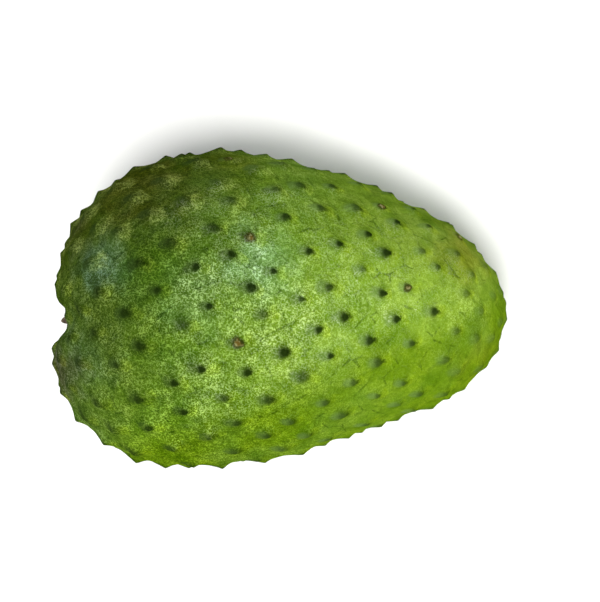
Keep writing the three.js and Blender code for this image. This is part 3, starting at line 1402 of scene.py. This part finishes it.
@dataclass
class FruitSkin:
    """The fruit's whole outside, in one piece: body, spines and flat spot, in millimetres."""

    body: FruitBody
    spiral: SpineSpiral
    finish: SkinFinish
    cells: int = 126
    stretch: float = 1.25
    gather_reach: float = 8.0
    gather: float = 0.5
    foot: float = 7.5
    mound: float = 0.6
    mound_foot: float = 9.0
    relief: float = 2.0
    relief_size: float = 13.0
    lump_detail: float = 4.0
    lump_warp: float = 0.4
    raggedness: float = 4.0
    tip_tear: float = 0.4
    tip_rounding: float = 0.06
    flare: float = 2.3
    stunting: float = 0.35
    fold: float = 0.6
    fold_rim: float = 4.8
    fold_inner: float = 12.0
    fold_outer: float = 32.0
    fold_start: float = -40.0
    fold_count: float = 9.0
    fold_wander: float = 6.0
    fold_wander_size: float = 20.0
    seed: float = 7.0

    def _gathered(self, directions: Array, spines: Spines) -> Array:
        """Draws the mesh's points in towards the nearest spine, where the shape is finest.

        Args:
            directions: Unit directions of the even mesh's points.
            spines: The seated spines.

        Returns:
            Unit directions of the gathered points.
        """
        points = self.body.skin(directions)
        number, distance, _ = spines.nearest(points)
        reach = self.gather_reach * spines.sizes[number]
        share = np.minimum(distance / reach, 1)
        factor = (self.gather + (1 - self.gather) * share)[:, None]
        seats = spines.seats[number]
        return unit(seats + (points - seats) * factor)

    def _inputs(self, seats: bpy.types.Object) -> dict[str, object]:
        """The geometry tree's inputs, each of which has one of this class's sizes.

        Args:
            seats: The object whose points are the spines' seats.

        Returns:
            The inputs by name, with lengths in metres.
        """
        sizes = vars(self) | {"cavity_y": self.body.cavity_y}
        scales = dict.fromkeys(SpineTree.lengths, MM) | dict.fromkeys(SpineTree.numbers, 1.0)
        own = {name: sizes[name.lower().replace(" ", "_")] * by for name, by in scales.items()}
        return own | {"Seats": seats, "Material": self.finish.make()}

    def build(self) -> bpy.types.Object:
        """Builds and dresses the skin.

        Returns:
            The skin's mesh object.
        """
        body = self.body
        spines = self.spiral.seat(body)
        directions, quads = sphere_grid(self.cells, self.stretch)
        directions = self._gathered(directions, spines)
        points = body.skin(directions)
        number, _, border = spines.nearest(points)
        skin = make_mesh("soursop_skin", body.laid(points), quads.tolist())
        store(skin, "seat", Data.COUNT, number)
        store(skin, "border", Data.NUMBER, border * MM)
        store(skin, "own", Data.VECTOR, points * MM)
        store(skin, "outward", Data.VECTOR, body.turned(body.normals(directions)))
        seats = make_mesh("spine_seats", body.laid(spines.seats), [])
        store(seats, "rise", Data.VECTOR, body.turned(spines.rise) * MM)
        store(seats, "way", Data.VECTOR, body.turned(spines.ways))
        store(seats, "size", Data.NUMBER, spines.sizes)
        count = len(spines.sizes)
        tones = [self.spiral.draw(k, Draw.TONE) for k in range(count)]
        store(seats, "tone", Data.NUMBER, np.array(tones))
        run_tree(skin, SpineTree().tree, self._inputs(seats))
        bpy.data.objects.remove(seats)
        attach(skin, BODY)
        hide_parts("fruit")
        log.info("skin: %d spines, %d faces", count, len(skin.data.polygons))
        return skin


@dataclass
class StalkStub:
    """The dry end of the stalk that is left in the fruit's cavity. Sizes are in millimetres."""

    body: FruitBody
    finish: BarkFinish
    profile: tuple[tuple[float, float], ...] = (
        (0.0, 0.6),
        (3.1, 1.2),
        (3.6, 2.3),
        (3.1, 4.2),
        (2.7, 7.6),
        (2.1, 10.6),
        (1.1, 12.9),
        (0.0, 13.8),
    )
    bend: float = 1.3
    rib_count: int = 3
    rib_share: float = 0.09
    fibre_share: float = 0.07
    fibre_turns: tuple[float, float] = (19.0, 7.0)
    fibre_slants: tuple[float, float] = (3.0, -9.0)
    fibre_phases: tuple[float, float] = (0.0, 1.0)
    roundings: int = 2
    split: int = 4
    sides: int = 96
    rings: int = 120

    def _outline(self) -> tuple[Array, Array]:
        """The stub's outline, with the profile's corners rounded off.

        Returns:
            The radius and the height of each ring.
        """
        line = np.array(self.profile)
        for _ in range(self.roundings):
            line = self._spread(line, self.split * (len(line) - 1) + 1)
            line[1:-1] = (line[:-2] + 2 * line[1:-1] + line[2:]) / 4
        radius, height = self._spread(line, self.rings).T
        return radius, height

    @staticmethod
    def _spread(line: Array, count: int) -> Array:
        """Spreads points evenly over a line.

        Args:
            line: The line's corners, one in each row.
            count: How many points.

        Returns:
            The points, one in each row.
        """
        corners = np.arange(len(line))
        place = np.linspace(0, corners[-1], count)
        return np.stack([np.interp(place, corners, column) for column in line.T], axis=1)

    def build(self) -> bpy.types.Object:
        """Builds and dresses the stub.

        Returns:
            The stub's mesh object.
        """
        radius, height = self._outline()
        turn = np.arange(self.sides) / self.sides * 2 * math.pi
        rise = height[:, None] / self.profile[-1][1]
        rib = 1 + self.rib_share * np.cos(self.rib_count * turn)[None]
        strands = math.prod(
            np.sin(turns * turn + slant * rise + phase)
            for turns, slant, phase in zip(self.fibre_turns, self.fibre_slants, self.fibre_phases)
        )
        fibres = self.fibre_share * strands * np.sin(math.pi * rise) ** 0.5
        wide = radius[:, None] * rib * (1 + fibres)
        side = wide * np.cos(turn) - self.bend * rise**2
        cavity = np.array([[-self.body.left_flank[0], self.body.cavity_y, 0.0]])
        seat = self.body.skin(unit(cavity))[0]
        tall = np.broadcast_to(height[:, None], wide.shape)
        shape = np.stack([-tall, side, wide * np.sin(turn)], axis=2)[1:-1].reshape(-1, 3)
        ends = np.array([[-height[0], 0, 0], [-height[-1], -self.bend, 0]])
        points = self.body.laid(np.vstack([shape, ends]) + seat)
        stub = make_mesh("stalk_stub_bark", points, self._faces())
        stub.data.polygons.foreach_set("use_smooth", [True] * len(stub.data.polygons))
        stub.data.materials.append(self.finish.make())
        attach(stub, BODY)
        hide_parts("stalk_stub")
        log.info("stalk stub: %d faces", len(stub.data.polygons))
        return stub

    def _faces(self) -> list[tuple[int, ...]]:
        """The stub's faces, all facing out.

        Returns:
            A fan of triangles at each end and quads between the rings.
        """
        rings, sides = self.rings - 2, self.sides
        low, high = rings * sides, rings * sides + 1
        faces: list[tuple[int, ...]] = []
        for k in range(sides):
            after = (k + 1) % sides
            faces.append((low, k, after))
            faces.append((high, (rings - 1) * sides + after, (rings - 1) * sides + k))
            for ring in range(rings - 1):
                first, second = ring * sides, (ring + 1) * sides
                faces.append((first + k, second + k, second + after, first + after))
        return faces


@dataclass(frozen=True)
class SoftLight:
    """One square soft light that faces the fruit. Sizes are in metres."""

    name: str
    direction: tuple[float, float, float]
    distance: float
    size: float
    power: float
    colour: tuple[float, float, float]

    def hang(self, body: FruitBody) -> None:
        """Hangs the light over the fruit.

        Args:
            body: The fruit's body, which the light aims at.
        """
        data = bpy.data.lights.new(self.name, "AREA")
        data.shape, data.size = "SQUARE", self.size
        data.energy, data.color = self.power, self.colour
        lamp = bpy.data.objects.new(self.name, data)
        away = Vector(self.direction).normalized()
        lamp.location = Vector(body.heart) * MM + away * self.distance
        lamp.rotation_euler = away.to_track_quat("Z", "Y").to_euler()
        bpy.context.scene.collection.objects.link(lamp)


@dataclass
class Studio:
    """The surface, the light and the camera. Lengths are in millimetres."""

    body: FruitBody
    aim: tuple[float, float, float] = (13.33, 3.1, 0.0)
    lens: float = 110.0
    sensor: float = 36.0
    view_width: float = 266.7
    floor_half: float = 2000.0
    room_light: float = 0.22
    wall_light: float = 1.0
    wall_edge: Span = (0.45, 0.15)
    lights: tuple[SoftLight, ...] = (
        SoftLight("key", (0.10, -0.24, 0.96), 4.0, 1.24, 172.0, (1.0, 0.99, 0.95)),
        SoftLight("overhead", (0.10, -0.05, 0.98), 6.0, 5.1, 107.0, (1.0, 1.0, 0.98)),
        SoftLight("window", (-0.75, 0.42, 0.55), 4.0, 1.6, 4.8, (0.80, 0.92, 1.0)),
        SoftLight("skylight", (-0.12, 0.50, 0.86), 4.0, 0.73, 7.9, (0.80, 0.92, 1.0)),
    )

    def camera(self) -> None:
        """Looks square down on the fruit's own long axis."""
        data = bpy.data.cameras.new("camera")
        data.lens = self.lens
        data.sensor_width = self.sensor
        distance = self.view_width * self.lens / self.sensor
        aim = self.body.laid(np.array([self.aim]))[0]
        right, up, back = (Vector(v) for v in self.body.turned(np.eye(3)))
        turn = Matrix((right, up, back)).transposed()
        camera = bpy.data.objects.new("camera", data)
        camera.matrix_world = Matrix.Translation(Vector(aim) + back * distance * MM) @ turn.to_4x4()
        bpy.context.scene.collection.objects.link(camera)
        bpy.context.scene.camera = camera

    def floor(self) -> None:
        """Lays the pale surface under the fruit."""
        corners = np.array([(-1, -1, 0), (1, -1, 0), (1, 1, 0), (-1, 1, 0)]) * self.floor_half * MM
        floor = make_mesh("floor", corners, [(0, 1, 2, 3)])
        floor.data.materials.append(FloorFinish().make())

    def light(self) -> None:
        """Lights the fruit from above, softly, with a pale room around it."""
        world = bpy.data.worlds.new("room")
        world.use_nodes = True
        graph = Graph(world.node_tree)
        height = graph.parts(graph.value("ShaderNodeTexCoord", {}, {}, "Generated"))[2]
        strength = height.ramp(*self.wall_edge).between(self.room_light, self.wall_light)
        sockets = {"Color": (1, 1, 1, 1), "Strength": strength}
        background = graph.value("ShaderNodeBackground", {}, sockets)
        graph.add("ShaderNodeOutputWorld", {}, {"Surface": background})
        bpy.context.scene.world = world
        for light in self.lights:
            light.hang(self.body)

    def build(self) -> None:
        """Sets the whole studio up."""
        self.camera()
        self.floor()
        self.light()
        bpy.context.scene.view_settings.view_transform = "Standard"


def main() -> None:
    """Builds the studio and the fruit, in order."""
    logging.basicConfig(level=logging.INFO, format="%(name)s: %(message)s")
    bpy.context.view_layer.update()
    body = FruitBody()
    Studio(body).build()
    FruitSkin(body, SpineSpiral(), SkinFinish()).build()
    StalkStub(body, BarkFinish()).build()


if __name__ == "__main__":
    main()
